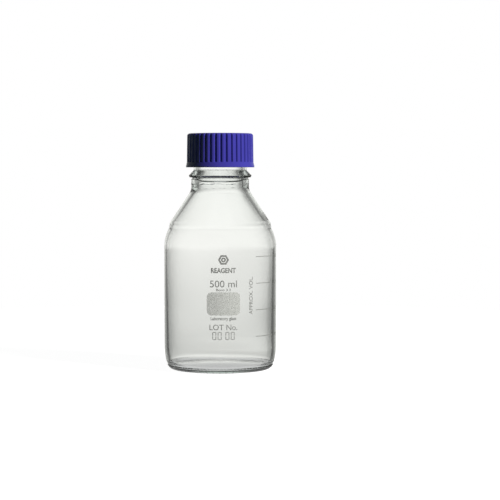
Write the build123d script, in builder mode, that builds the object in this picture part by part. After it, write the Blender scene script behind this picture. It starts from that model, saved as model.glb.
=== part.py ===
"""Laboratory reagent bottle, 500 ml: borosilicate bottle, pouring ring, screw cap with its seal, enamel print.

Millimetres. +Z is up, the bottle stands on Z = 0 about the origin, and the print faces -Y.
"""

import math
import os

from build123d import *

# ---- driving dimensions -----------------------------------------------------------------------------------
BODY_RADIUS = 43.0
WALL = 3.0
BODY_LOW = 18.0  # the straight wall starts here, above the heel
BODY_HIGH = 97.0  # and ends here, below the shoulder
BOTTLE_HEIGHT = 175.6
CAP_TOP = 181.0

BEARING_INNER = 31.0  # the ring that the bottle stands on
PUNT_RISE = 3.0
FLOOR_EDGE_Z = 5.0
FLOOR_CENTRE_Z = 7.8
HEEL_BEND = 50.0  # large radius of the tapering heel
HEEL_TURN = 16.3  # degrees of it before the tight corner
INNER_HEEL_TURN = 11.0

SHOULDER_BEND = 21.3
SEAM_LOW = 109.0  # mould seam: a short upright step between shoulder arc and shoulder cone
SEAM_HIGH = 111.9
SEAM_RADIUS = 39.3
NECK_RADIUS = 22.2
NECK_LOW = 137.6
INNER_CONE_LOW = (35.3, 111.9)
INNER_NECK_LOW = 140.2
MOUTH_RADIUS = 16.5
NECK_FILLET = 11.0
INNER_NECK_FILLET = 9.0

BEAD_RADIUS = 24.3  # collar below the cap
BEAD_LOW = 147.0
BEAD_Z = 148.9
FINISH_RADIUS = 20.5  # the threaded part between the turns
FINISH_LOW = 152.7
LIP_RADIUS = 19.9
LIP_LOW = 172.5
LIP_ROUND = 1.2

PITCH = 4.0
THREAD_TURNS = 1.9
THREAD_ANGLE = 35.0  # degrees round from +X to the lower end of each thread
THREAD_START = 162.3  # middle of the bottle thread's lower end
GLASS_THREAD_RADIUS = 22.5
CAP_THREAD_RADIUS = 21.3
CAP_THREAD_DROP = 2.25  # the cap's turns lie this far below the bottle's
THREAD_ROOT = 0.4  # each thread is sunk this far into its wall

CAP_LOW = 155.0
CAP_BORE = 23.0
CAP_SEAT_RADIUS = 22.4
CAP_SEAT_LOW = 176.0
CAP_PLATE = 2.0
CAP_TOP_RADIUS = 25.3
CAP_SIDE_RADIUS = 25.6
CAP_RIM_RADIUS = 26.3
CAP_RIM_HIGH = 158.9
CAP_EDGE = 1.5
CAP_DISH_RADIUS = 20.0
CAP_DISH_DEPTH = 0.4
RIB_COUNT = 40
RIB_PHASE = -3.0  # degrees from the front to the nearest groove
GROOVE_WIDTH = 1.5
GROOVE_DEPTH = 0.75

SEAL_RADIUS = 22.0
SEAL_LOW = 176.95
FACING = 0.25
SEAL_GAP = 0.05

RING_GAP = 0.05
RING_TOP = 176.8
RING_RADIUS = 20.95
RING_BORE = 15.6
RING_LEG_LOW = 172.4
RING_SKIRT_LOW = 173.0

ENAMEL = 0.06
SCALE_LEVELS = (28.0, 48.0, 68.0, 88.0)  # 100, 200, 300 and 400 ml
SCALE_FROM, SCALE_TO = 35.4, 63.8  # degrees round from the front
SCALE_LINE = 0.5
MARK_Z = 86.1
PANEL_SIZE = (25.2, 17.3)
PANEL_Z = 53.2
PANEL_CORNER = 2.8


def turned(outline):
    """A solid turned about Z from a function that draws its half section on the XZ plane."""
    with BuildPart() as body:
        with BuildSketch(Plane.XZ):
            with BuildLine():
                outline()
            make_face()
        revolve(axis=Axis.Z)
    return body


def thread_turns(wall, crest, root_width, crest_width, start):
    """A helical ridge of trapezoid section from the wall radius to the crest radius, sunk into the wall."""
    direction = math.copysign(1, crest - wall)
    sunk = wall - direction * THREAD_ROOT
    with BuildPart() as ridge:
        with BuildLine() as path:
            Helix(pitch=PITCH, height=PITCH * THREAD_TURNS, radius=wall, center=(0, 0, start))
        with BuildSketch(Plane(origin=path.line @ 0, x_dir=(1, 0, 0), z_dir=path.line % 0)):
            with BuildLine():
                Polyline(
                    (sunk - wall, -root_width / 2),
                    (crest - wall, -crest_width / 2),
                    (crest - wall, crest_width / 2),
                    (sunk - wall, root_width / 2),
                    close=True,
                )
            make_face()
        sweep(is_frenet=True)
    return ridge


def heel(radius, bend, turn, bottom):
    """The heel from the straight wall in: a large radius for turn degrees, then a corner down level at bottom."""
    drop = math.sin(math.radians(turn))
    corner = (BODY_LOW - bottom - bend * drop) / (1 - drop)
    tapering = JernArc((radius, BODY_LOW), (0, -1), bend, -turn)
    return JernArc(tapering @ 1, tapering % 1, corner, turn - 90)


def bottle_outline():
    """Half section of the glass: outside from the base up, over the lip, and down the inside."""
    outer_corner = heel(BODY_RADIUS, HEEL_BEND, HEEL_TURN, 0)
    Line(outer_corner @ 1, (BEARING_INNER, 0))
    TangentArc((0, PUNT_RISE), (BEARING_INNER, 0), tangent=(1, 0))
    Line((0, PUNT_RISE), (0, FLOOR_CENTRE_Z))
    Line((BODY_RADIUS, BODY_LOW), (BODY_RADIUS, BODY_HIGH))
    shoulder = RadiusArc((BODY_RADIUS, BODY_HIGH), (SEAM_RADIUS, SEAM_LOW), -SHOULDER_BEND)
    seam = Line(shoulder @ 1, (SEAM_RADIUS, SEAM_HIGH))
    cone = FilletPolyline(
        seam @ 1, (NECK_RADIUS, NECK_LOW), (NECK_RADIUS, BEAD_LOW), radius=NECK_FILLET
    )
    bead = FilletPolyline(
        cone @ 1,
        (BEAD_RADIUS - 0.6, BEAD_LOW + 0.7),
        (BEAD_RADIUS, BEAD_Z),
        (FINISH_RADIUS, FINISH_LOW),
        (FINISH_RADIUS, LIP_LOW - 0.6),
        radius=0.4,
    )
    lip = FilletPolyline(
        bead @ 1,
        (LIP_RADIUS, LIP_LOW),
        (LIP_RADIUS, BOTTLE_HEIGHT),
        (MOUTH_RADIUS, BOTTLE_HEIGHT),
        (MOUTH_RADIUS, LIP_LOW),
        radius=(0.3, LIP_ROUND, LIP_ROUND),
    )
    inner_cone = FilletPolyline(
        lip @ 1, (MOUTH_RADIUS, INNER_NECK_LOW), INNER_CONE_LOW, radius=INNER_NECK_FILLET
    )
    inner_seam = Line(inner_cone @ 1, (SEAM_RADIUS - WALL, SEAM_LOW))
    inner_shoulder = RadiusArc(
        inner_seam @ 1, (BODY_RADIUS - WALL, BODY_HIGH), SHOULDER_BEND - WALL
    )
    Line(inner_shoulder @ 1, (BODY_RADIUS - WALL, BODY_LOW))
    inner_corner = heel(BODY_RADIUS - WALL, HEEL_BEND - WALL, INNER_HEEL_TURN, FLOOR_EDGE_Z)
    TangentArc((0, FLOOR_CENTRE_Z), inner_corner @ 1, tangent=(1, 0))


def cap_outline():
    """Half section of the cap without its grip ribs: outside from the dished top down, then up the bore."""
    dish = CAP_TOP - CAP_DISH_DEPTH
    Polyline((0, CAP_TOP - CAP_PLATE), (0, dish), (CAP_DISH_RADIUS, dish))
    top = FilletPolyline(
        (CAP_DISH_RADIUS, dish),
        (CAP_DISH_RADIUS + CAP_DISH_DEPTH, CAP_TOP),
        (CAP_TOP_RADIUS, CAP_TOP),
        (CAP_SIDE_RADIUS, CAP_RIM_HIGH),
        radius=(0.2, CAP_EDGE),
    )
    rim = Polyline(
        top @ 1,
        (CAP_RIM_RADIUS, CAP_LOW + 0.9),
        (CAP_RIM_RADIUS - 0.1, CAP_LOW),
        (CAP_BORE + 0.9, CAP_LOW),
        (CAP_BORE, CAP_LOW + 1.0),
        (CAP_BORE, CAP_SEAT_LOW - 0.6),
        (CAP_SEAT_RADIUS, CAP_SEAT_LOW),
        (CAP_SEAT_RADIUS, CAP_TOP - CAP_PLATE),
    )
    Line(rim @ 1, (0, CAP_TOP - CAP_PLATE))


def ring_outline():
    """Half section of the pouring ring: a channel that sits over the glass lip."""
    lip_top = BOTTLE_HEIGHT + RING_GAP
    skirt_inner = LIP_RADIUS + RING_GAP
    leg_outer = MOUTH_RADIUS - RING_GAP
    outside = FilletPolyline(
        (skirt_inner, RING_SKIRT_LOW),
        (RING_RADIUS - 0.5, RING_SKIRT_LOW),
        (RING_RADIUS - 0.2, RING_SKIRT_LOW + 1.2),
        (RING_RADIUS, RING_TOP),
        (RING_BORE + 1.0, RING_TOP),
        (RING_BORE, RING_TOP - 1.4),
        (RING_BORE, RING_LEG_LOW),
        radius=(0.2, 0.5, 0.25, 0.4, 0.6),
    )
    Polyline(
        outside @ 1,
        (leg_outer, RING_LEG_LOW),
        (leg_outer, lip_top),
        (skirt_inner, lip_top),
        (skirt_inner, RING_SKIRT_LOW),
    )


def enamel_print(label, draw):
    """A thin layer of enamel on the front of the wall, cut to the outline that draw makes seen from -Y."""
    with BuildPart() as layer:
        with BuildSketch(Plane.XZ.offset(BODY_RADIUS)):
            draw()
        extrude(amount=BODY_RADIUS / 4, both=True)
        with BuildSketch(Plane.XY.offset(BODY_LOW)):
            Circle(BODY_RADIUS + ENAMEL)
            Circle(BODY_RADIUS, mode=Mode.SUBTRACT)
        extrude(amount=BODY_HIGH - BODY_LOW, mode=Mode.INTERSECT)
    layer.part.label = label
    return layer


def draw_mark():
    """A plain hexagon ring about a small circle."""
    with Locations((0, MARK_Z)):
        RegularPolygon(radius=4.1, side_count=6, rotation=30)
        RegularPolygon(radius=3.0, side_count=6, rotation=30, mode=Mode.SUBTRACT)
        Circle(1.7)
        Circle(1.0, mode=Mode.SUBTRACT)


def draw_panel():
    """The matt panel that is written on."""
    with Locations((0, PANEL_Z)):
        RectangleRounded(*PANEL_SIZE, PANEL_CORNER)


# ---- glass bottle -----------------------------------------------------------------------------------------
bottle_thread = thread_turns(FINISH_RADIUS, GLASS_THREAD_RADIUS, 2.5, 1.0, THREAD_START)
with BuildPart() as glass_bottle:
    add(turned(bottle_outline).part)
    add(bottle_thread.part, rotation=(0, 0, THREAD_ANGLE))
glass_bottle.part.label = "glass_bottle"

# ---- screw cap --------------------------------------------------------------------------------------------
cap_thread = thread_turns(CAP_BORE, CAP_THREAD_RADIUS, 2.1, 1.0, THREAD_START - CAP_THREAD_DROP)
with BuildPart() as screw_cap:
    add(turned(cap_outline).part)
    with BuildSketch(Plane.XY.offset(CAP_RIM_HIGH)):
        with PolarLocations(CAP_SIDE_RADIUS, RIB_COUNT, start_angle=RIB_PHASE - 90):
            Trapezoid(GROOVE_WIDTH + 0.6, 2 * GROOVE_DEPTH, 75, rotation=90)
    extrude(amount=CAP_TOP - CAP_RIM_HIGH, mode=Mode.SUBTRACT)
    add(cap_thread.part, rotation=(0, 0, THREAD_ANGLE))
screw_cap.part.label = "screw_cap"

# ---- pouring ring -----------------------------------------------------------------------------------------
pouring_ring = turned(ring_outline)
pouring_ring.part.label = "pouring_ring"

# ---- seal in the cap --------------------------------------------------------------------------------------
with BuildPart() as seal_facing:
    with BuildSketch(Plane.XY.offset(SEAL_LOW)):
        Circle(SEAL_RADIUS)
    extrude(amount=FACING)
seal_facing.part.label = "seal_facing"

with BuildPart() as seal_disc:
    with BuildSketch(Plane.XY.offset(SEAL_LOW + FACING)):
        Circle(SEAL_RADIUS)
    extrude(amount=CAP_TOP - CAP_PLATE - SEAL_GAP - SEAL_LOW - FACING)
seal_disc.part.label = "seal_disc"

# ---- enamel print -----------------------------------------------------------------------------------------
print_panel = enamel_print("print_panel", draw_panel)
print_mark = enamel_print("print_mark", draw_mark)

with BuildPart() as print_scale_lines:
    for level in SCALE_LEVELS:
        with BuildSketch(Plane.XZ.rotated((0, 0, SCALE_FROM - 90))):
            with Locations((BODY_RADIUS + ENAMEL / 2, level)):
                Rectangle(ENAMEL, SCALE_LINE)
        revolve(axis=Axis.Z, revolution_arc=SCALE_TO - SCALE_FROM)
print_scale_lines.part.label = "print_scale_lines"

# ---- write one STEP file for each piece -------------------------------------------------------------------
os.makedirs("parts", exist_ok=True)
for piece in (
    glass_bottle,
    screw_cap,
    pouring_ring,
    seal_facing,
    seal_disc,
    print_panel,
    print_mark,
    print_scale_lines,
):
    export_step(piece.part, f"parts/{piece.part.label}.step")
    print(piece.part.label, round(piece.part.volume / 1000, 3), "cm3", len(piece.part.solids()), "solids")
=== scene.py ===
"""Looks of a 500 ml laboratory reagent bottle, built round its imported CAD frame.

The glass bottle, the ribbed screw cap, the pouring ring, the cap's seal and the fired enamel print are each a
class that holds its sizes in millimetres, builds its meshes with bmesh operators and dresses them. Radii and
heights that the frame already knows are read from it. +Z is up and the print faces -Y.
"""

import logging
from collections.abc import Iterable
from dataclasses import dataclass, field
from enum import Enum
from math import asin, atan2, ceil, cos, exp, hypot, pi, radians, sin, sqrt, tan

import bmesh
import bpy
from mathutils import Matrix, Vector, noise

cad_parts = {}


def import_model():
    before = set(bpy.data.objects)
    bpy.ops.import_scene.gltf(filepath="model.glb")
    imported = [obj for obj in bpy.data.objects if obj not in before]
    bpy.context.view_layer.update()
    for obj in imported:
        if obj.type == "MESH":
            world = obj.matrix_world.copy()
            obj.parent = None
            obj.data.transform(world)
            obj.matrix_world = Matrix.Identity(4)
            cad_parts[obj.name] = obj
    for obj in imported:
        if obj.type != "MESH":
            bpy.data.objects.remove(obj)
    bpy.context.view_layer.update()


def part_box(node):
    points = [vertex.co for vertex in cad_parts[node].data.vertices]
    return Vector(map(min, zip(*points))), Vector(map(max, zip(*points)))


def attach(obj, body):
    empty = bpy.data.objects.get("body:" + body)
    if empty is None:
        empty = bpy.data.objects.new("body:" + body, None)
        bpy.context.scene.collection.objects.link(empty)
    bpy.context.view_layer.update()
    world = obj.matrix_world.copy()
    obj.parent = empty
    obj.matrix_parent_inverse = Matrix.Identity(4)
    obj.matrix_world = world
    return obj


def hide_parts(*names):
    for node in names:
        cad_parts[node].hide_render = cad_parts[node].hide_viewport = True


log = logging.getLogger("reagent_bottle")

MM = 0.001
MERGE = 1e-4
TINY = 1e-6
Colour = tuple[float, float, float]
Pair = tuple[float, float]
Stops = tuple[Pair, ...]
BMesh = bmesh.types.BMesh
BMVert = bmesh.types.BMVert
Material = bpy.types.Material
Piece = bpy.types.Object
Socket = bpy.types.NodeSocket


class Body(Enum):
    """The moving bodies of the frame."""

    BOTTLE = "bottle"
    SEAL = "seal"
    CAP = "cap"


class Align(Enum):
    """Which way a line of print runs on the wall."""

    LEVEL = "level"
    UPWARD = "upward"


# ---- helpers for outlines and meshes ----
@dataclass(frozen=True)
class Corner:
    """One corner of a half section, in millimetres.

    radius rounds the corner with bend faces along the arc, and run is the number of faces on the straight
    stretch that leads to it. A straight stretch keeps a narrow face beside each arc, so that it shades flat.
    """

    r: float
    z: float
    radius: float = 0.0
    bend: int = 6
    run: int = 1


def smoothstep(low: float, high: float, value: float) -> float:
    """Eases from 0 at low to 1 at high."""
    share = min(1.0, max(0.0, (value - low) / (high - low)))
    return share * share * (3 - 2 * share)


def window(enter: Pair, leave: Pair, value: float) -> float:
    """Eases from 0 to 1 over the enter range and back to 0 over the leave range."""
    return smoothstep(*enter, value) * (1 - smoothstep(*leave, value))


def rounded_outline(corners: Iterable[Corner]) -> list[Vector]:
    """Works out the points of a half section from its corners.

    Args:
        corners: the corners in order, of which the first and the last are ends without a radius.

    Returns:
        The outline's points as (r, 0, z) vectors in millimetres.
    """
    chain = list(corners)
    points = [Vector((chain[0].r, 0, chain[0].z))]
    eased = 0.0
    for index, corner in enumerate(chain[1:], start=1):
        here = Vector((corner.r, 0, corner.z))
        bend: list[Vector] = [here]
        if corner.radius > 0 and index + 1 < len(chain):
            after = chain[index + 1]
            back = (Vector((chain[index - 1].r, 0, chain[index - 1].z)) - here).normalized()
            ahead = (Vector((after.r, 0, after.z)) - here).normalized()
            half = back.angle(ahead) / 2
            centre = here + (back + ahead).normalized() * (corner.radius / sin(half))
            first = here + back * (corner.radius / tan(half)) - centre
            last = here + ahead * (corner.radius / tan(half)) - centre
            turn = first.angle(last)
            bend = [
                centre
                + (first * sin(turn - turn * k / corner.bend) + last * sin(turn * k / corner.bend))
                / sin(turn)
                for k in range(corner.bend + 1)
            ]
        start = points[-1]
        reach = (bend[0] - start).length
        margin = (bend[1] - bend[0]).length if len(bend) > 1 else 0.0
        after_bend = start.lerp(bend[0], eased / reach) if reach > 3 * eased > 0 else start
        points += [after_bend] * (after_bend is not start)
        points += [after_bend.lerp(bend[0], k / corner.run) for k in range(1, corner.run)]
        if margin and reach / corner.run > 3 * margin:
            points.append(bend[0].lerp(after_bend, margin / reach))
        points += bend
        eased = margin
    return points


def spun(outline: list[Vector], steps: int, sectors: int = 16) -> BMesh:
    """Spins a half section about Z into a closed shell.

    Args:
        outline: the half section's points in millimetres; a point on the axis becomes a pole.
        steps: the number of faces round the axis.
        sectors: the number of equal sectors that it is made in, a divisor of steps.

    Returns:
        A new bmesh in millimetres, with its doubles merged and its normals outward.
    """
    bm = bmesh.new()
    chain = [bm.verts.new(point) for point in outline]
    edges = [bm.edges.new(pair) for pair in zip(chain, chain[1:])]
    if (outline[0] - outline[-1]).length > TINY and min(outline[0].x, outline[-1].x) > TINY:
        edges.append(bm.edges.new((chain[-1], chain[0])))
    turn = 2 * pi / sectors
    about = {"cent": (0, 0, 0), "axis": (0, 0, 1)}
    bmesh.ops.spin(bm, geom=[*chain, *edges], angle=turn, steps=steps // sectors, **about)
    bmesh.ops.spin(
        bm,
        geom=[*bm.verts, *bm.edges, *bm.faces],
        angle=turn * (sectors - 1),
        steps=sectors - 1,
        use_duplicate=True,
        **about,
    )
    bmesh.ops.remove_doubles(bm, verts=bm.verts[:], dist=MERGE)
    bmesh.ops.recalc_face_normals(bm, faces=bm.faces[:])
    return bm


def ring_angle(point: Vector) -> float:
    """The angle of a point round the axis from +X, from 0 to a full turn, in radians."""
    return atan2(point.y, point.x) % (2 * pi)


def around_bottle(distance: float, azimuth: float, elevation: float, height: float) -> Vector:
    """A place at a distance from a point on the axis, by degrees round from the front and up."""
    turned, up = radians(azimuth), radians(elevation)
    across = distance * cos(up)
    return Vector((across * sin(turned), -across * cos(turned), height + distance * sin(up)))


def move_out(vert: BMVert, distance: float) -> None:
    """Moves a vertex away from the axis by a distance, or towards it if that is negative."""
    radius = hypot(vert.co.x, vert.co.y)
    if radius > TINY:
        scale = (radius + distance) / radius
        vert.co.x *= scale
        vert.co.y *= scale


def added(name: str, data: bpy.types.ID) -> Piece:
    """Adds an object to the scene for its mesh, text, camera or lamp."""
    made = bpy.data.objects.new(name, data)
    bpy.context.scene.collection.objects.link(made)
    return made


def to_piece(bm: BMesh, name: str, finish: Material, crease: float = 40.0) -> Piece:
    """Turns a bmesh in millimetres into a scene object in metres.

    Args:
        bm: the mesh, which is freed.
        name: the piece's name.
        finish: its material.
        crease: the edge angle in degrees up to which its faces are shaded smooth, 0 for flat faces.

    Returns:
        The new object, with its place in its mesh.
    """
    bmesh.ops.scale(bm, vec=(MM, MM, MM), verts=bm.verts[:])
    mesh = bpy.data.meshes.new(name)
    bm.to_mesh(mesh)
    bm.free()
    mesh.materials.append(finish)
    if crease > 0:
        mesh.shade_smooth()
        mesh.set_sharp_from_angle(angle=radians(crease))
    return added(name, mesh)


def settle(piece: Piece, body: Body, slot: str, *stands_for: str) -> None:
    """Puts a piece on its body and hides the CAD nodes that it stands for."""
    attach(piece, body.value)
    if stands_for:
        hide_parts(*stands_for)
    log.info("%s rides on %s with %d faces", piece.name, body.value, len(piece.data.polygons))


@dataclass(frozen=True)
class Helix:
    """A screw thread's ridge as a relief on a wall, in millimetres and turns.

    root and crest are its widths, ease rounds its flanks and fade is the share of a turn that its ends take.
    """

    start: float
    pitch: float
    turns: float
    angle: float
    height: float
    root: float
    crest: float
    ease: float = 0.15
    fade: float = 0.09

    def relief(self, turned: float, z: float) -> float:
        """The ridge's height over the wall.

        Args:
            turned: the angle round the axis, in radians from 0 to a full turn.
            z: the height of the point on the wall.

        Returns:
            The relief in millimetres, 0 off the ridge.
        """
        share = ((turned - radians(self.angle)) / (2 * pi)) % 1.0
        tallest = 0.0
        for lap in range(ceil(self.turns) + 1):
            along = share + lap
            if along > self.turns:
                break
            off = abs(z - self.start - self.pitch * along)
            flank = 1 - smoothstep(self.crest / 2 - self.ease, self.root / 2 + self.ease, off)
            ends = smoothstep(0, self.fade, along) * smoothstep(0, self.fade, self.turns - along)
            tallest = max(tallest, self.height * flank * ends)
        return tallest


# ---- finishes ----
class Nodes:
    """The node tree of a material or a world, with short ways to add and link its nodes."""

    def __init__(self, owner: bpy.types.ID, output: str = "OutputMaterial") -> None:
        """Empties the owner's tree and adds its output."""
        owner.use_nodes = True
        self.owner = owner
        self.tree = owner.node_tree
        self.tree.nodes.clear()
        self.out = self.node(output)

    def node(self, kind: str, **values: object) -> bpy.types.Node:
        """Adds a node.

        Args:
            kind: the node's type name after ShaderNode.
            values: its properties, or the values of its inputs with spaces as underscores.

        Returns:
            The node.
        """
        made = self.tree.nodes.new(f"ShaderNode{kind}")
        for name, value in values.items():
            if hasattr(made, name):
                setattr(made, name, value)
            else:
                made.inputs[name.replace("_", " ")].default_value = value
        return made

    def link(self, source: Socket, target: Socket) -> None:
        """Links an output to an input."""
        self.tree.links.new(source, target)

    def show(self, source: Socket) -> None:
        """Links a shader to the output's surface."""
        self.link(source, self.out.inputs["Surface"])

    def coordinates(self, kind: str = "Object") -> Socket:
        """Texture coordinates of a kind."""
        return self.node("TexCoord").outputs[kind]

    def either(self, share: Socket, first: Socket, second: Socket) -> Socket:
        """Mixes two shaders, by a share of 0 for the first and 1 for the second."""
        mixed = self.node("MixShader")
        for source, target in zip((share, first, second), mixed.inputs):
            self.link(source, target)
        return mixed.outputs[0]

    def maths(self, kind: str, first: object, second: object = 0.0) -> Socket:
        """A Math node on sockets or plain numbers."""
        made = self.node("Math", operation=kind)
        for socket, value in zip(made.inputs, (first, second)):
            if isinstance(value, Socket):
                self.link(value, socket)
            else:
                socket.default_value = value
        return made.outputs[0]

    def ranged(self, value: Socket, *limits: float) -> Socket:
        """Maps a value from a range, by default to 0 to 1.

        Args:
            value: the value.
            limits: the range's ends, and the results at them if they are not 0 and 1.

        Returns:
            The result, held between its ends.
        """
        names = ("From_Min", "From_Max", "To_Min", "To_Max")
        made = self.node("MapRange", **dict(zip(names, limits)))
        self.link(value, made.inputs["Value"])
        return made.outputs["Result"]

    def ramp(self, value: Socket, stops: Stops) -> Socket:
        """Brightness along a value in degrees, through (degrees, brightness) stops."""
        low, high = stops[0][0], stops[-1][0]
        ramp = self.node("ValToRGB")
        elements = ramp.color_ramp.elements
        for index, (degree, level) in enumerate(stops):
            at = (degree - low) / (high - low)
            if 0 < index < len(stops) - 1:
                element = elements.new(at)
            else:
                element = elements[0 if index == 0 else -1]
            element.position = at
            element.color = (level, level, level, 1)
        self.link(self.ranged(value, low, high), ramp.inputs["Fac"])
        return ramp.outputs["Color"]


@dataclass(frozen=True)
class Grain:
    """A noise pattern on Object coordinates: its lumps a metre, its detail and its stretch."""

    scale: float
    detail: float = 2.0
    stretch: tuple[float, float, float] = (1, 1, 1)


class Skin(Nodes):
    """A new material with one Principled shader."""

    def __init__(self, name: str, **values: object) -> None:
        """Makes the material, with plain values on the shader's sockets, spaces as underscores."""
        super().__init__(bpy.data.materials.new(name))
        self.base = self.node("BsdfPrincipled", **values)
        self.show(self.base.outputs["BSDF"])

    def pattern(self, grain: Grain) -> Socket:
        """Adds a noise pattern."""
        mapping = self.node("Mapping", Scale=grain.stretch)
        self.link(self.coordinates(), mapping.inputs["Vector"])
        noisy = self.node("TexNoise", Scale=grain.scale, Detail=grain.detail)
        self.link(mapping.outputs["Vector"], noisy.inputs["Vector"])
        return noisy.outputs["Fac"]

    def mottle(self, grain: Grain, colour: Colour, shades: Pair) -> None:
        """Varies the base colour between its dark and its light shade, given as factors."""
        ramp = self.node("ValToRGB")
        for element, position, shade in zip(ramp.color_ramp.elements, (0.35, 0.65), shades):
            element.position = position
            element.color = (*(channel * shade for channel in colour), 1)
        self.link(self.pattern(grain), ramp.inputs["Fac"])
        self.link(ramp.outputs["Color"], self.base.inputs["Base Color"])

    def dull(self, grain: Grain, low: float, high: float) -> None:
        """Varies the roughness from low to high."""
        self.link(self.ranged(self.pattern(grain), 0.3, 0.7, low, high), self.base.inputs["Roughness"])

    def bump(self, grain: Grain, depth: float, strength: float) -> None:
        """Adds a bump of a depth in metres."""
        relief = self.node("Bump", Strength=strength, Distance=depth)
        self.link(self.pattern(grain), relief.inputs["Height"])
        self.link(relief.outputs["Normal"], self.base.inputs["Normal"])


@dataclass(frozen=True)
class ClearGlass:
    """Polished borosilicate glass with faint drawn streaks and a slight green tint in its depth."""

    index: float = 1.473
    tint: Colour = (0.80, 0.93, 0.87)
    density: float = 20.0
    streaks: Grain = Grain(60, stretch=(1, 1, 0.12))
    streak_depth: float = 0.00002
    streak_strength: float = 0.5

    def make(self) -> Material:
        """Builds the material."""
        white = (1.0, 1.0, 1.0, 1)
        skin = Skin(
            "clear_borosilicate", Base_Color=white, Roughness=0.0, IOR=self.index, Transmission_Weight=1.0
        )
        skin.bump(self.streaks, self.streak_depth, self.streak_strength)
        inside = skin.node("VolumeAbsorption", Color=(*self.tint, 1), Density=self.density)
        skin.link(inside.outputs["Volume"], skin.out.inputs["Volume"])
        return skin.owner


@dataclass(frozen=True)
class Texture:
    """How much a finish varies: marks in its colour, patches in its sheen and fine relief.

    shades are factors on the colour, spread lies below and above the roughness, and depth is in metres.
    """

    marks: Grain
    shades: Pair
    patches: Grain
    spread: Pair
    relief: Grain
    depth: float
    strength: float

    def dress(self, skin: Skin, colour: Colour, roughness: float) -> Material:
        """Gives a skin its colour, roughness and relief, and returns its material."""
        skin.mottle(self.marks, colour, self.shades)
        skin.dull(self.patches, roughness - self.spread[0], roughness + self.spread[1])
        skin.bump(self.relief, self.depth, self.strength)
        return skin.owner


@dataclass(frozen=True)
class MouldedPlastic:
    """Moulded polypropylene: an even colour with faint flow marks, a satin skin and a fine texture."""

    name: str
    colour: Colour
    roughness: float
    index: float = 1.49
    gloss_tint: Colour = (0.55, 1.0, 0.72)
    texture: Texture = Texture(
        Grain(90, 4, (1, 1, 0.25)), (0.93, 1.06), Grain(400), (0.05, 0.06), Grain(2500), 0.00003, 0.35
    )

    def make(self) -> Material:
        """Builds the material."""
        skin = Skin(self.name, IOR=self.index, Specular_Tint=(*self.gloss_tint, 1))
        return self.texture.dress(skin, self.colour, self.roughness)


@dataclass(frozen=True)
class SoftSeal:
    """Silicone rubber or its fluoropolymer facing: pale, slightly waxy and a little uneven."""

    name: str
    colour: Colour
    roughness: float
    waxiness: float
    light_reach: Colour = (0.6, 0.6, 0.5)
    texture: Texture = Texture(
        Grain(220, 4), (0.94, 1.0), Grain(600), (0.06, 0.06), Grain(1800), 0.00002, 0.4
    )

    def make(self) -> Material:
        """Builds the material. Light reaches less than a millimetre into it."""
        skin = Skin(
            self.name,
            Subsurface_Weight=self.waxiness,
            Subsurface_Radius=self.light_reach,
            Subsurface_Scale=MM,
        )
        return self.texture.dress(skin, self.colour, self.roughness)


@dataclass(frozen=True)
class FiredEnamel:
    """Screen-printed enamel fired on the glass: matt, with a fine grain, and it lets some light through."""

    name: str
    colour: Colour
    cover: float
    index: float = 1.5
    roughness: float = 0.65
    texture: Texture = Texture(
        Grain(900, 5), (0.93, 1.05), Grain(900, 5), (0.10, 0.10), Grain(3500), 0.00001, 0.5
    )

    def make(self) -> Material:
        """Builds the material."""
        skin = Skin(self.name, IOR=self.index, Alpha=self.cover)
        return self.texture.dress(skin, self.colour, self.roughness)


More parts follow.
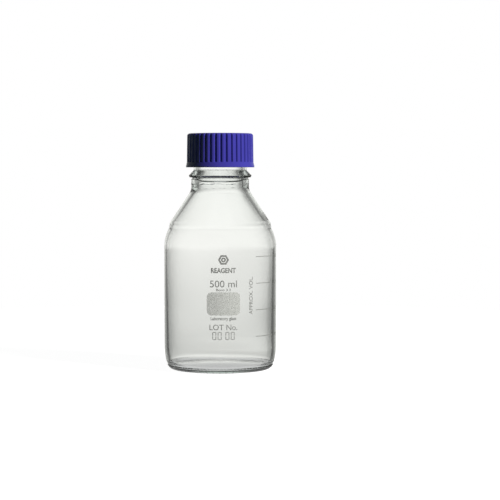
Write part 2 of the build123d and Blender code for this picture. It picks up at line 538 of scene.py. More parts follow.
# ---- glass bottle ----
@dataclass
class GlassBottle:
    """The moulded and blown bottle: body, shoulder, cone, neck, collar, thread and lip.

    The band is the short stretch at the seam. band_glass and band_drop set its inner corners in and down from
    its outer ones, low corner first. skins are how deep under the outside a point still belongs to it, on the
    wall, the heel, the shoulder and the cone.
    """

    radius: float
    height: float
    wall: float = 3.0
    heel_low: float = 18.0
    heel_bend: float = 50.0
    heel_turn: float = 16.3
    inner_heel_turn: float = 11.0
    bearing_inner: float = 31.0
    punt_rise: float = 3.0
    floor_edge: float = 2.9
    floor_centre: float = 5.6
    shoulder_low: float = 94.2
    shoulder_bend: float = 29.0
    shoulder_corner: float = 101.2
    seam_low: float = 108.5
    seam_high: float = 112.7
    seam_radius: float = 39.3
    band_lean: float = 0.55
    band_glass: Pair = (3.0, 3.6)
    band_drop: Pair = (0.7, 0.8)
    inner_shoulder_drop: float = 0.6
    neck_radius: float = 22.2
    neck_low: float = 137.6
    inner_neck_low: float = 139.3
    mouth_radius: float = 16.5
    collar_radius: float = 24.3
    collar_low: float = 147.0
    collar_z: float = 148.9
    finish_radius: float = 20.5
    finish_low: float = 152.7
    lip_radius: float = 19.9
    lip_low: float = 172.5
    mould_line: float = 142.6
    mould_reach: float = 1.6
    mould_wander: Pair = (0.55, 0.25)
    mould_height: Pair = (0.15, 0.9)
    mould_width: float = 0.24
    knurl_count: int = 96
    knurl_low_r: float = 32.6
    knurl_high_z: float = 6.6
    knurl_depth: float = 0.7
    knurl_rows: float = 2.2
    knurl_mark: Pair = (1.15, 1.05)
    knurl_ground: float = 0.3
    knurl_inside: float = 35.0
    thin: float = 0.9
    lean: float = 0.22
    cone_lean: float = 0.4
    ripple: float = 0.16
    skins: tuple[float, float, float, float] = (1.5, 1.2, 1.6, 1.9)
    steps: int = 336
    thread: Helix = field(
        default_factory=lambda: Helix(
            start=162.3, pitch=4.0, turns=1.9, angle=35.0, height=2.0, root=2.5, crest=1.0
        )
    )

    def outer_corners(self) -> list[Corner]:
        """The outside from the middle of the punt, round the heel and up to the finish."""
        punt = self.dome(self.bearing_inner, 0, self.punt_rise, 8)
        return [
            Corner(0, self.punt_rise),
            punt,
            Corner(self.bearing_inner, 0, 0.3, 3),
            *self.heel(self.radius, self.heel_bend, self.heel_turn, 0, inward=False),
            Corner(self.radius, self.shoulder_corner, self.shoulder_bend, 12, 3),
            Corner(self.seam_radius, self.seam_low, 2.5, 5),
            Corner(self.seam_radius - self.band_lean, self.seam_high, 5.0, 5),
            Corner(self.neck_radius, self.neck_low, 11, 10, 3),
            Corner(self.neck_radius, self.mould_line - self.mould_reach),
            Corner(self.neck_radius, self.mould_line + self.mould_reach, run=16),
            Corner(self.neck_radius, self.collar_low - 0.9, 0.3, 3),
            Corner(self.neck_radius - 0.7, self.collar_low - 0.55, 0.25, 3),
            Corner(self.neck_radius - 0.5, self.collar_low, 0.3, 3),
            Corner(self.collar_radius - 0.7, self.collar_low + 0.35, 0.5, 4),
            Corner(self.collar_radius, self.collar_z, 0.7, 8),
            Corner(self.finish_radius, self.finish_low, 1.2, 6),
        ]

    def finish_corners(self) -> list[Corner]:
        """The threaded finish, the lip and the top of the bore."""
        low = self.thread.start - self.thread.root
        high = self.lip_low - 1.1
        return [
            Corner(self.finish_radius, low),
            Corner(self.finish_radius, high, run=30),
            Corner(self.finish_radius, self.lip_low - 0.4, 0.3, 2),
            Corner(self.lip_radius, self.lip_low, 0.3, 2),
            Corner(self.lip_radius, self.height, 1.2, 6),
            Corner(self.mouth_radius, self.height, 1.2, 6),
        ]

    def inner_corners(self) -> list[Corner]:
        """The inside from the bore down over the shoulder to the middle of the floor."""
        inner = self.radius - self.wall
        bend = self.heel_bend - self.wall
        heel = self.heel(inner, bend, self.inner_heel_turn, self.floor_edge, inward=True)
        low_glass, high_glass = self.band_glass
        low_drop, high_drop = self.band_drop
        return [
            Corner(self.mouth_radius, self.inner_neck_low, 26, 12, 3),
            Corner(self.seam_radius - high_glass, self.seam_high - high_drop, 6.5, 5, 4),
            Corner(self.seam_radius - low_glass, self.seam_low - low_drop, 4.0, 5),
            Corner(inner, self.shoulder_corner - self.inner_shoulder_drop, self.shoulder_bend, 12),
            *heel,
            self.dome(heel[-1].r, self.floor_edge, self.floor_centre - self.floor_edge, 8),
            Corner(0, self.floor_centre),
        ]

    def heel(self, radius: float, bend: float, turn: float, bottom: float, inward: bool) -> list[Corner]:
        """The two rounded corners of a heel.

        Args:
            radius: the wall's radius.
            bend: the large radius that tapers the heel.
            turn: the degrees that it turns.
            bottom: the height of the level stretch that the tight corner runs into.
            inward: whether the outline comes down the wall, as on the inside, or goes up it.

        Returns:
            The corners in the outline's order. The last of the inside ends on the floor's edge.
        """
        drop = sin(radians(turn))
        tight = (self.heel_low - bottom - bend * drop) / (1 - drop)
        taper = bend * tan(radians(turn / 2))
        knee = tight * tan(radians((90 - turn) / 2))
        upper = Corner(radius, self.heel_low - taper, bend, 6, 6 if inward else 1)
        reach = taper + knee
        lower_r = radius - reach * sin(radians(turn))
        lower = Corner(lower_r, bottom, tight, 12)
        if inward:
            return [upper, lower, Corner(lower_r - knee, bottom)]
        return [
            Corner(lower_r - knee - 0.01, bottom, run=8),
            Corner(lower_r, bottom, tight, 16),
            upper,
        ]

    def dome(self, edge: float, low: float, rise: float, bend: int) -> Corner:
        """The rounded corner that makes a shallow dome over the axis, edge wide and rise high."""
        radius = (edge * edge + rise * rise) / (2 * rise)
        half = asin(edge / radius) / 2
        return Corner(radius * tan(half), low + rise, radius * 0.99, bend)

    def shape(self) -> BMesh:
        """Spins the section and works the thread, the mould line, the knurl and the uneven wall into it."""
        corners = [*self.outer_corners(), *self.finish_corners(), *self.inner_corners()]
        bm = spun(rounded_outline(corners), self.steps)
        for vert in bm.verts:
            self.work(vert)
        return bm

    def work(self, vert: BMVert) -> None:
        """Moves one vertex for the relief that its place has."""
        radius, z = hypot(vert.co.x, vert.co.y), vert.co.z
        turned = ring_angle(vert.co)
        if z > self.finish_low and radius > self.finish_radius - 0.01:
            move_out(vert, self.thread.relief(turned, z))
        elif abs(z - self.mould_line) < self.mould_reach + 0.1 and radius > self.neck_radius - 0.2:
            move_out(vert, self.mould_ridge(turned, z))
        elif z < self.knurl_high_z and radius > self.knurl_low_r and z < radius - self.knurl_inside:
            self.knurl(vert, turned, radius)
        elif radius > self.knurl_low_r - 0.2 and z <= 0.01:
            self.knurl(vert, turned, radius)
        elif self.floor_edge + 3 < z < self.neck_low + 5 and radius < self.radius - 1.2:
            if not self.is_outer(radius, z):
                move_out(vert, self.unevenness(turned, z))

    def is_outer(self, radius: float, z: float) -> bool:
        """Whether a point above the heel's floor lies on the outside of the glass."""
        on_wall, on_heel, on_shoulder, on_cone = self.skins
        if z > self.seam_low:
            slope = (self.seam_radius - self.band_lean - self.neck_radius) / (self.neck_low - self.seam_high)
            outside = max(self.neck_radius, self.seam_radius - slope * max(0.0, z - self.seam_high))
            return radius > outside - on_cone
        if z > self.shoulder_low:
            drop = (self.radius - self.seam_radius) * smoothstep(self.shoulder_low - 6, self.seam_low + 6, z)
            return radius > self.radius - drop - on_shoulder
        if z < self.heel_low:
            drop = self.heel_low - z
            outside = self.radius - self.heel_bend + sqrt(self.heel_bend**2 - drop * drop)
            return radius > outside - on_heel
        return radius > self.radius - on_wall

    def mould_ridge(self, turned: float, z: float) -> float:
        """The wavy joint line that the neck mould leaves."""
        around = Vector((cos(turned), sin(turned), 0)) * 2.6
        slow, quick = self.mould_wander
        middle = self.mould_line + slow * noise.noise(around) + quick * noise.noise(around * 3.1)
        usual, change = self.mould_height
        height = usual + change * noise.noise(around * 2.3 + Vector((0, 0, 7)))
        return max(0.0, height) * exp(-(((z - middle) / self.mould_width) ** 2))

    def knurl(self, vert: BMVert, turned: float, radius: float) -> None:
        """Sinks the bearing band between its staggered grip marks."""
        z = vert.co.z
        along = (radius - self.knurl_low_r) if z < 0.05 else (radius - self.knurl_low_r + z)
        row = round(along / self.knurl_rows)
        phase = turned / (2 * pi) * self.knurl_count + 0.5 * (row % 2)
        off_around = abs(phase - round(phase)) * 2 * self.knurl_mark[0]
        off_along = abs(along / self.knurl_rows - row) * 2 * self.knurl_mark[1]
        mark = max(0.0, 1 - hypot(off_around, off_along))
        deep = self.knurl_depth * (self.knurl_ground + (1 - self.knurl_ground) * smoothstep(0.6, 2.4, z))
        sunk = deep * (1 - smoothstep(0, 0.7, mark))
        edge = smoothstep(0, 0.8, along) * (1 - smoothstep(self.knurl_high_z - 1.2, self.knurl_high_z, z))
        inward = Vector((vert.co.x, vert.co.y, 0)) / radius * smoothstep(0, 3, z)
        vert.co += (Vector((0, 0, 1)) - inward).normalized() * sunk * edge

    def unevenness(self, turned: float, z: float) -> float:
        """How much further out than its drawn section the blown inner wall lies, in millimetres."""
        spot = Vector((cos(turned), sin(turned), z / 45.0)) * 1.4
        foot, top = (self.floor_edge + 3, self.heel_low + 14), (self.shoulder_low + 4, self.seam_high + 12)
        share = window(foot, top, z)
        thinning = self.thin * smoothstep(self.heel_low, self.shoulder_low, z)
        in_cone = window((self.seam_low, self.seam_high + 8), (self.neck_low - 6, self.neck_low + 4), z)
        blown = thinning - self.lean * cos(turned) + self.ripple * noise.noise(spot)
        return share * blown - in_cone * self.cone_lean * cos(turned)

    def build(self, finish: Material) -> None:
        """Makes the bottle and lets it stand for its CAD node."""
        piece = to_piece(self.shape(), "bottle_glass", finish, crease=180)
        settle(piece, Body.BOTTLE, "glass", "glass_bottle")


# ---- screw cap ----
@dataclass
class ScrewCap:
    """The ribbed screw cap with its smooth rim, its thread and the seat for the seal."""

    low: float
    high: float
    rim_radius: float
    side_radius: float = 25.6
    top_radius: float = 25.3
    rim_high: float = 158.9
    edge: float = 2.1
    plate: float = 2.0
    dish_radius: float = 20.0
    dish_depth: float = 0.4
    bore: float = 23.0
    seat_radius: float = 22.4
    seat_low: float = 176.0
    rib_count: int = 40
    rib_phase: float = -92.2
    rib_samples: int = 16
    groove_share: float = 0.66
    groove_depth: float = 1.15
    gate_ring: tuple[float, ...] = (1.9, 2.1, 2.6, 2.8)
    gate_height: float = 0.15
    thread: Helix = field(
        default_factory=lambda: Helix(
            start=160.05, pitch=4.0, turns=1.9, angle=35.0, height=1.7, root=2.1, crest=1.0
        )
    )

    def corners(self) -> list[Corner]:
        """The half section from the middle of the top, down the outside and up the bore."""
        dish = self.high - self.dish_depth
        gate, rim, bore = self.gate_height, self.rim_high, self.bore
        thread_low = self.thread.start - self.thread.root
        thread_high = self.thread.start + self.thread.pitch * self.thread.turns + self.thread.root
        return [
            Corner(0, dish),
            *(Corner(r, dish + rise, 0.1, 2) for r, rise in zip(self.gate_ring, (0, gate, gate, 0))),
            Corner(self.dish_radius, dish, 0.3, 3, 3),
            Corner(self.dish_radius + self.dish_depth, self.high, 0.3, 3),
            Corner(self.top_radius, self.high, self.edge, 9),
            Corner(self.side_radius, rim + 0.75, run=3),
            Corner(self.side_radius, rim, 0.3, 3, 6),
            Corner(self.side_radius + 0.15, rim - 0.8, 0.6, 4),
            Corner(self.rim_radius, self.low + 0.9, 0.5, 5, 2),
            Corner(self.rim_radius - 0.1, self.low, 0.3, 4),
            Corner(bore + 0.9, self.low, 0.2, 3),
            Corner(bore, self.low + 1.0, 0.3, 3),
            Corner(bore, thread_low),
            Corner(bore, thread_high, run=26),
            Corner(bore, self.seat_low - 0.6),
            Corner(self.seat_radius, self.seat_low, 0.2, 2),
            Corner(self.seat_radius, self.high - self.plate, 0.3, 3),
            Corner(0, self.high - self.plate, run=2),
        ]

    def groove(self, turned: float) -> float:
        """How deep the grip is sunk at an angle, from 0 on a rib to 1 in the middle of a groove."""
        phase = (turned - radians(self.rib_phase)) / (2 * pi) * self.rib_count
        off = abs(phase - round(phase)) * 2
        return 1 - smoothstep(self.groove_share * 0.4, self.groove_share, off)

    def work(self, vert: BMVert) -> None:
        """Sinks a vertex of the side into its groove, or raises a vertex of the bore into the thread."""
        radius, z = hypot(vert.co.x, vert.co.y), vert.co.z
        turned = ring_angle(vert.co)
        if abs(radius - self.bore) < 0.01 and z < self.seat_low:
            move_out(vert, -self.thread.relief(turned, z))
        elif radius > self.bore + 1.2 and z > self.rim_high - 0.05:
            wider = (self.side_radius - self.top_radius) * (self.high - z)
            side = self.top_radius + wider / (self.high - self.rim_high)
            run_out = smoothstep(self.rim_high - 0.1, self.rim_high + 0.7, z)
            floor = side - self.groove_depth * self.groove(turned) * run_out
            if radius > floor:
                move_out(vert, floor - radius)

    def build(self, finish: Material) -> None:
        """Makes the cap and lets it stand for its CAD node."""
        bm = spun(rounded_outline(self.corners()), self.rib_count * self.rib_samples)
        for vert in bm.verts:
            self.work(vert)
        piece = to_piece(bm, "cap_shell", finish)
        settle(piece, Body.CAP, "cap_plastic", "screw_cap")


# ---- pouring ring ----
@dataclass
class PouringRing:
    """The ring over the glass lip, with a drip edge."""

    low: float
    high: float
    radius: float
    lip_top: float
    lip_radius: float = 19.95
    bore: float = 15.6
    leg_outer: float = 16.45
    skirt_low: float = 173.0
    steps: int = 192

    def build(self, finish: Material) -> None:
        """Makes the ring and lets it stand for its CAD node."""
        corners = [
            Corner(self.lip_radius, self.skirt_low),
            Corner(self.radius - 0.5, self.skirt_low, 0.2, 3),
            Corner(self.radius - 0.2, self.skirt_low + 1.2, 0.5, 4),
            Corner(self.radius, self.high, 0.25, 4),
            Corner(self.bore + 1.0, self.high, 0.4, 4, 2),
            Corner(self.bore, self.high - 1.4, 0.6, 5),
            Corner(self.bore, self.low, 0.15, 2),
            Corner(self.leg_outer, self.low, 0.15, 2),
            Corner(self.leg_outer, self.lip_top, 0.3, 3),
            Corner(self.lip_radius, self.lip_top, 0.3, 3),
            Corner(self.lip_radius, self.skirt_low),
        ]
        outline = rounded_outline(corners)[:-1]
        piece = to_piece(spun(outline, self.steps), "ring_for_pouring", finish)
        settle(piece, Body.BOTTLE, "ring_plastic", "pouring_ring")


# ---- seal in the cap ----
@dataclass
class CapSeal:
    """The silicone disc and its facing, with the mark that the pouring ring has pressed in."""

    radius: float
    facing_low: float
    disc_low: float
    disc_high: float
    mark_radius: float = 18.8
    mark_width: float = 1.7
    mark_depth: float = 0.06
    mark_floor: float = 0.6
    clearance: float = 0.005
    steps: int = 160

    def build(self, rubber: Material, facing: Material) -> None:
        """Makes the disc and the facing and lets them stand for their CAD nodes."""
        pressed = self.facing_low + self.mark_depth
        low = [
            Corner(0, self.facing_low),
            Corner(self.mark_radius - self.mark_width, self.facing_low, 0.3, 3, 4),
            Corner(self.mark_radius - self.mark_width * self.mark_floor, pressed, 0.3, 3),
            Corner(self.mark_radius + self.mark_width * self.mark_floor, pressed, 0.3, 3),
            Corner(self.mark_radius + self.mark_width, self.facing_low, 0.3, 3),
            Corner(self.radius, self.facing_low, 0.1, 3),
            Corner(self.radius, self.disc_low),
            Corner(0, self.disc_low, run=4),
        ]
        disc = [
            Corner(0, self.disc_low + self.clearance),
            Corner(self.radius, self.disc_low + self.clearance, run=4),
            Corner(self.radius, self.disc_high, 0.25, 4),
            Corner(0, self.disc_high, run=4),
        ]
        for corners, name, finish, slot, node in (
            (low, "seal_face", facing, "facing", "seal_facing"),
            (disc, "seal_pad", rubber, "seal_rubber", "seal_disc"),
        ):
            piece = to_piece(spun(rounded_outline(corners), self.steps), name, finish)
            settle(piece, Body.SEAL, slot, node)


# ---- enamel print ----
@dataclass(frozen=True)
class Wording:
    """One line of generic lettering, by the height of its middle, its width and its letter height."""

    name: str
    words: str
    z: float
    width: float
    tall: float
    bold: float = 0.0
    angle: float = 0.0
    run: Align = Align.LEVEL


@dataclass
class EnamelPrint:
    """The fired print on the wall: mark, lettering, writing panel and volume scale."""

    radius: float
    gap: float = 0.012
    thickness: float = 0.05
    slice_width: float = 1.2
    panel_size: Pair = (25.2, 17.3)
    panel_z: float = 53.2
    panel_corner: float = 3.6
    mark_z: float = 86.1
    mark_radius: float = 4.1
    mark_shares: tuple[float, float, float] = (0.64, 0.44, 0.16)
    scale_levels: tuple[float, ...] = (28.0, 48.0, 68.0, 88.0)
    scale_step: int = 100
    scale_from: float = 35.4
    scale_to: float = 63.8
    scale_line: float = 0.5
    numeral_angle: float = 72.0
    numeral_size: Pair = (6.4, 3.0)
    digit_z: float = 29.2
    digit_size: Pair = (2.9, 6.0)
    digit_stroke: float = 0.55
    digit_gap: float = 1.1
    pair_shift: float = 0.9
    wordings: tuple[Wording, ...] = (
        Wording("print_kind", "REAGENT", 78.3, 18.7, 3.7, 0.035),
        Wording("print_capacity", "500 ml", 68.2, 20.4, 5.1, 0.004),
        Wording("print_glass_type", "Boro 3.3", 63.7, 10.9, 1.8, 0.02),
        Wording("print_use", "Laboratory glass", 42.3, 19.3, 2.4, 0.02),
        Wording("print_lot", "LOT No.", 35.7, 21.0, 4.1, 0.004),
        Wording("print_scale_legend", "APPROX. VOL.", 59.0, 28.2, 3.1, 0.012, 29.0, Align.UPWARD),
    )

    def wrapped(self, flat: BMesh, angle: float, z: float, run: Align) -> BMesh:
        """Bends a flat print round the wall and gives it its thickness.

        Args:
            flat: the print in the XY plane in millimetres, about its own middle.
            angle: degrees round the wall from the front.
            z: the height of its middle.
            run: which way it reads.

        Returns:
            The same bmesh as a closed layer on the wall.
        """
        if run is Align.UPWARD:
            quarter = Matrix.Rotation(pi / 2, 3, "Z")
            bmesh.ops.rotate(flat, cent=(0, 0, 0), matrix=quarter, verts=flat.verts[:])
        reach = max(abs(vert.co.x) for vert in flat.verts)
        cuts = ceil(reach / self.slice_width)
        for cut in range(-cuts, cuts + 1):
            bmesh.ops.bisect_plane(
                flat,
                geom=[*flat.verts, *flat.edges, *flat.faces],
                plane_co=(cut * self.slice_width, 0, 0),
                plane_no=(1, 0, 0),
            )
        shell = self.radius + self.gap
        for vert in flat.verts:
            around = vert.co.x / self.radius + radians(angle)
            vert.co = Vector((shell * sin(around), -shell * cos(around), z + vert.co.y))
        outward = Vector((sin(radians(angle)), -cos(radians(angle)), 0))
        bmesh.ops.recalc_face_normals(flat, faces=flat.faces[:])
        for face in flat.faces:
            if face.normal.dot(outward) < 0:
                face.normal_flip()
        top = bmesh.ops.extrude_face_region(flat, geom=flat.faces[:])["geom"]
        grow = (shell + self.thickness) / shell
        for vert in (item for item in top if isinstance(item, BMVert)):
            vert.co.x *= grow
            vert.co.y *= grow
        bmesh.ops.recalc_face_normals(flat, faces=flat.faces[:])
        return flat

    def place(
        self, flat: BMesh, name: str, finish: Material, *stands_for: str,
        angle: float = 0.0, z: float = 0.0, run: Align = Align.LEVEL,
    ) -> None:
        """Wraps a flat print and makes it a piece of the bottle."""
        piece = to_piece(self.wrapped(flat, angle, z, run), name, finish, crease=0)
        settle(piece, Body.BOTTLE, "enamel", *stands_for)

    def lettering(self, wording: Wording) -> BMesh:
        """The flat outline of a line of lettering, at its width and letter height, about its middle."""
        curve = bpy.data.curves.new(wording.name, "FONT")
        curve.body = wording.words
        curve.offset = wording.bold
        curve.resolution_u = 5
        text = added(wording.name, curve)
        bpy.context.view_layer.update()
        mesh = bpy.data.meshes.new_from_object(text)
        bpy.data.objects.remove(text)
        bm = bmesh.new()
        bm.from_mesh(mesh)
        bpy.data.meshes.remove(mesh)
        bmesh.ops.remove_doubles(bm, verts=bm.verts[:], dist=MERGE / 10)
        low = Vector((min(v.co.x for v in bm.verts), 0, 0))
        high = Vector((max(v.co.x for v in bm.verts), max(v.co.y for v in bm.verts), 0))
        across, up = wording.width / (high.x - low.x), wording.tall / high.y
        bmesh.ops.translate(bm, vec=(-(low.x + high.x) / 2, -high.y / 2, 0), verts=bm.verts[:])
        bmesh.ops.scale(bm, vec=(across, up, 1), verts=bm.verts[:])
        return bm

    def bar(self, bm: BMesh, centre: Pair, size: Pair) -> None:
        """Adds a flat bar to a print."""
        place = Matrix.Translation((*centre, 0)) @ Matrix.Diagonal((*size, 1, 1))
        bmesh.ops.create_grid(bm, x_segments=1, y_segments=1, size=0.5, matrix=place)

    def digits(self, count: int = 4) -> BMesh:
        """Noughts in seven-bar style, in two pairs, as a form for a lot number."""
        bm = bmesh.new()
        wide, tall = self.digit_size
        stroke = self.digit_stroke
        pitch = wide + self.digit_gap
        for index in range(count):
            shift = self.pair_shift if index >= count / 2 else -self.pair_shift
            middle = (index - (count - 1) / 2) * pitch + shift
            for side in (-1, 1):
                self.bar(bm, (middle, side * (tall - stroke) / 2), (wide - stroke * 2.4, stroke))
                for half in (-1, 1):
                    upright = (middle + side * (wide - stroke) / 2, half * tall / 4)
                    self.bar(bm, upright, (stroke, tall / 2 - stroke * 0.9))
        return bm

    def panel(self) -> BMesh:
        """The flat writing panel with its rounded corners."""
        bm = bmesh.new()
        wide, tall = self.panel_size
        self.bar(bm, (0, 0), (wide, tall))
        corner = {"offset": self.panel_corner, "segments": 8, "profile": 0.5}
        bmesh.ops.bevel(bm, geom=bm.verts[:], affect="VERTICES", material=-1, **corner)
        return bm

    def ring(self, bm: BMesh, outer: float, inner: float, sides: int, turn: float = 0.0) -> None:
        """Adds a flat ring with a number of sides to a print."""
        made = bmesh.ops.create_circle(
            bm, cap_ends=True, radius=outer, segments=sides, matrix=Matrix.Rotation(turn, 4, "Z")
        )
        face = made["verts"][0].link_faces[0]
        width = (outer - inner) * cos(pi / sides)
        bmesh.ops.inset_individual(bm, faces=[face], thickness=width, use_even_offset=True)
        bmesh.ops.delete(bm, geom=[face], context="FACES")

    def mark(self) -> BMesh:
        """A plain hexagon ring about a small circle."""
        bm = bmesh.new()
        frame, outer, inner = (self.mark_radius * share for share in self.mark_shares)
        self.ring(bm, self.mark_radius, frame, 6, radians(30))
        self.ring(bm, outer, inner, 40)
        return bm

    def scale_lines(self) -> BMesh:
        """The four flat volume lines, about the front."""
        bm = bmesh.new()
        low, high = (radians(angle) * self.radius for angle in (self.scale_from, self.scale_to))
        for level in self.scale_levels:
            self.bar(bm, ((low + high) / 2, level), (high - low, self.scale_line))
        return bm

    def build(self, matt: Material, ink: Material) -> None:
        """Makes every layer of print. The CAD panel, mark and lines are stood for by their wrapped layers."""
        self.place(self.panel(), "panel_for_notes", matt, "print_panel", z=self.panel_z)
        self.place(self.mark(), "hexagon_mark", ink, "print_mark", z=self.mark_z)
        self.place(self.scale_lines(), "volume_lines", ink, "print_scale_lines")
        self.place(self.digits(), "print_lot_digits", ink, z=self.digit_z)
        lines = list(self.wordings)
        for index, level in enumerate(self.scale_levels, start=1):
            words = str(index * self.scale_step)
            name = f"numeral_{words}"
            lines.append(Wording(name, words, level, *self.numeral_size, angle=self.numeral_angle))
        for line in lines:
            self.place(self.lettering(line), line.name, ink, angle=line.angle, z=line.z, run=line.run)


# ---- studio ----
@dataclass
class Studio:
    """The pale floor, the room, the backdrop that glass sees, a soft lamp at the right and the camera.

    The stops are (degrees, brightness). table_sides go round the backdrop below the table's edge and
    screen_sides above it. screen_rise goes from straight down to straight up.
    """

    camera_distance: float = 1.300
    camera_height: float = 0.155
    camera_azimuth: float = -3.2
    camera_tilt: float = -2.8
    camera_yaw: float = 1.01
    half_view: float = 8.414
    sensor: float = 36.0
    key_azimuth: float = 50.0
    key_elevation: float = 24.0
    key_distance: float = 1.1
    key_size: Pair = (0.24, 0.5)
    key_power: float = 14.0
    key_colour: Colour = (1.0, 0.98, 0.96)
    key_aim: float = 0.1
    floor_radius: float = 0.6
    floor_gap: float = 0.0002
    floor_light: float = 0.97
    # painted shade under the bottle for glass: the glow of its disc and the radii over which it fades out
    painted_shade_light: float = 0.60
    painted_shade_radius: Pair = (0.042, 0.050)
    room_light: tuple[float, ...] = (-0.2, 0.9, 0.0, 0.12)
    room_colour: Colour = (0.95, 1.0, 1.0)
    backdrop_radius: float = 40.0
    backdrop_light: float = 1.14
    backdrop_colour: Colour = (1.0, 1.0, 0.965)
    table_edge: Stops = ((-2.4, 0.0), (-1.0, 1.0))
    table_sides: Stops = (
        (-90, 0.40), (-62, 0.08), (-36, 0.08), (-28, 0.19), (-19, 0.46), (-12, 0.77), (-4, 0.92), (2, 0.98),
        (7, 0.94), (13, 0.90), (18, 0.62), (25, 0.42), (32, 0.20), (60, 0.08), (90, 0.30),
    )
    screen_sides: Stops = (
        (-90, 0.40), (-60, 0.28), (-45, 0.42), (-36, 0.45), (-28, 0.36), (-19, 0.66), (-12, 0.97), (12, 0.97),
        (20, 0.66), (30, 0.36), (38, 0.58), (45, 0.50), (52, 0.28), (60, 0.06), (90, 0.25),
    )
    screen_rise: Stops = (
        (-80, 0.45), (-35, 0.86), (-22, 0.86), (-16, 0.82), (-12, 0.76), (-8, 0.62), (-6.5, 0.61),
        (-5.9, 0.71), (-5.2, 0.76), (-3.2, 0.82), (-2.4, 0.88), (-1.5, 0.93), (3, 0.96), (6, 0.94),
        (12, 0.78), (24, 0.42), (40, 0.10), (90, 0.05),
    )

    def camera(self) -> Piece:
        """Adds the camera and makes it the scene's."""
        lens = bpy.data.cameras.new("camera")
        lens.sensor_width = self.sensor
        lens.lens = self.sensor / 2 / tan(radians(self.half_view))
        lens.clip_start, lens.clip_end = 0.01, 100
        camera = added("camera", lens)
        camera.location = around_bottle(self.camera_distance, self.camera_azimuth, 0, self.camera_height)
        turned = radians(self.camera_azimuth) - radians(self.camera_yaw)
        camera.rotation_euler = (radians(90 + self.camera_tilt), 0, turned)
        bpy.context.scene.camera = camera
        return camera

    def lamp(self) -> None:
        """Adds the soft rectangular lamp, which looks at the middle of the bottle."""
        light = bpy.data.lights.new("key_lamp", "AREA")
        light.shape = "RECTANGLE"
        light.size, light.size_y = self.key_size
        light.energy = self.key_power
        light.color = self.key_colour
        lamp = added("key_lamp", light)
        lamp.location = around_bottle(
            self.key_distance, self.key_azimuth, self.key_elevation, self.key_aim
        )
        aim = Vector((0, 0, self.key_aim)) - lamp.location
        lamp.rotation_euler = aim.to_track_quat("-Z", "Y").to_euler()
        lamp.visible_camera = lamp.visible_glossy = lamp.visible_transmission = False

    def world(self) -> None:
        """White to the camera, and a dim room that is darker on the left to everything that is not glass."""
        world = bpy.data.worlds.new("studio")
        bpy.context.scene.world = world
        nodes = Nodes(world, "OutputWorld")
        world.cycles.sampling_method = "NONE"
        seen = nodes.node("Background", Color=(1, 1, 1, 1))
        room = nodes.node("Background", Color=(*self.room_colour, 1))
        parts = nodes.node("SeparateXYZ")
        nodes.link(nodes.coordinates("Generated"), parts.inputs[0])
        nodes.link(nodes.ranged(parts.outputs["X"], *self.room_light), room.inputs["Strength"])
        camera_ray = nodes.node("LightPath").outputs["Is Camera Ray"]
        nodes.show(nodes.either(camera_ray, room.outputs[0], seen.outputs[0]))

    def glowing(self, name: str) -> Nodes:
        """Starts a material that glows but isn't sampled as a lamp."""
        nodes = Nodes(bpy.data.materials.new(name))
        nodes.owner.cycles.emission_sampling = "NONE"
        return nodes

    def backdrop(self, camera: Piece) -> None:
        """A far lit backdrop with dark flags at its sides, for glass and gloss. It turns with the camera."""
        bm = bmesh.new()
        bmesh.ops.create_icosphere(bm, subdivisions=4, radius=self.backdrop_radius / MM)
        nodes = self.glowing("lit_backdrop")
        away = nodes.node("VectorMath", operation="NORMALIZE")
        nodes.link(nodes.coordinates(), away.inputs[0])
        parts = nodes.node("SeparateXYZ")
        nodes.link(away.outputs["Vector"], parts.inputs[0])
        turned = nodes.maths("ARCTAN2", parts.outputs["X"], parts.outputs["Y"])
        raised = nodes.maths("ARCSINE", parts.outputs["Z"])
        around, up = (nodes.maths("MULTIPLY", angle, 180 / pi) for angle in (turned, raised))
        mix = nodes.node("Mix", data_type="FLOAT")
        for socket, value, stops in (
            (0, up, self.table_edge),
            (2, around, self.table_sides),
            (3, around, self.screen_sides),
        ):
            nodes.link(nodes.ramp(value, stops), mix.inputs[socket])
        level = nodes.maths("MULTIPLY", mix.outputs[0], nodes.ramp(up, self.screen_rise))
        glow = nodes.node("Emission", Color=(*self.backdrop_colour, 1))
        nodes.link(nodes.maths("MULTIPLY", level, self.backdrop_light), glow.inputs["Strength"])
        nodes.show(glow.outputs[0])
        sheet = to_piece(bm, "lit_backdrop", nodes.owner, crease=180)
        sheet.visible_camera = sheet.visible_diffuse = sheet.visible_shadow = False
        bpy.context.view_layer.update()
        sheet.parent = camera
        sheet.matrix_parent_inverse = camera.matrix_world.inverted()

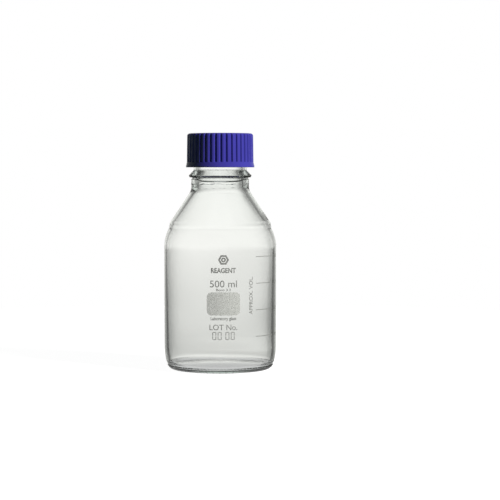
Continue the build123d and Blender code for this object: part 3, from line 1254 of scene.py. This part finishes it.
    def floor(self) -> None:
        """A plain pale floor. Under the bottle glass sees a dim glow, painted shade that stands for the
        floor's shadow there, and past that the backdrop.
        """
        bm = bmesh.new()
        bmesh.ops.create_circle(bm, cap_ends=True, radius=self.floor_radius / MM, segments=96)
        nodes = self.glowing("pale_floor")
        seen = nodes.node("AddShader")
        nodes.link(nodes.node("BsdfDiffuse", Color=(0.5, 0.5, 0.5, 1)).outputs[0], seen.inputs[0])
        nodes.link(nodes.node("Emission", Strength=self.floor_light).outputs[0], seen.inputs[1])
        far = nodes.node("VectorMath", operation="LENGTH")
        nodes.link(nodes.coordinates(), far.inputs[0])
        # painted shade: a dim glowing disc under the bottle, which glass sees in place of the floor's shadow
        # there
        fade = nodes.ranged(far.outputs["Value"], *self.painted_shade_radius)
        shade = nodes.node("Emission", Strength=self.painted_shade_light).outputs[0]
        under = nodes.either(fade, shade, nodes.node("BsdfTransparent").outputs[0])
        camera_ray = nodes.node("LightPath").outputs["Is Camera Ray"]
        nodes.show(nodes.either(camera_ray, under, seen.outputs[0]))
        sheet = to_piece(bm, "floor_sheet", nodes.owner, crease=0)
        sheet.location.z = -self.floor_gap
        sheet.visible_diffuse = False

    def build(self) -> None:
        """Sets the stage and the view."""
        self.backdrop(self.camera())
        self.world()
        self.floor()
        self.lamp()
        bpy.context.scene.view_settings.view_transform = "Standard"


def main() -> None:
    logging.basicConfig(level=logging.INFO, format="%(name)s: %(message)s")
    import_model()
    glass_low, glass_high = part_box("glass_bottle")
    cap_low, cap_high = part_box("screw_cap")
    ring_low, ring_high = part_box("pouring_ring")
    face_low, face_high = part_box("seal_facing")
    _, disc_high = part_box("seal_disc")

    bottle = GlassBottle(radius=round(glass_high.x / MM, 1), height=round(glass_high.z / MM, 2))
    bottle.build(ClearGlass().make())
    cap = ScrewCap(
        low=cap_low.z / MM, high=round(cap_high.z / MM, 2), rim_radius=round(cap_high.x / MM, 2)
    )
    cap.build(MouldedPlastic("cap_polypropylene", (0.060, 0.052, 0.40), 0.36).make())
    ring = PouringRing(
        low=ring_low.z / MM,
        high=ring_high.z / MM,
        radius=round(ring_high.x / MM, 2),
        lip_top=bottle.height + 0.05,
    )
    ring.build(MouldedPlastic("ring_polypropylene", (0.06, 0.06, 0.42), 0.38).make())
    seal = CapSeal(
        radius=round(face_high.x / MM, 2),
        facing_low=face_low.z / MM,
        disc_low=face_high.z / MM,
        disc_high=disc_high.z / MM,
    )
    seal.build(
        SoftSeal("silicone", (0.62, 0.63, 0.61), 0.5, 0.3).make(),
        SoftSeal("white_facing", (0.86, 0.86, 0.84), 0.45, 0.1).make(),
    )
    enamel = EnamelPrint(radius=bottle.radius)
    enamel.build(
        FiredEnamel("matt_enamel", (0.60, 0.62, 0.57), 0.36).make(),
        FiredEnamel("print_enamel", (0.32, 0.33, 0.31), 0.70).make(),
    )
    Studio().build()


if __name__ == "__main__":
    main()
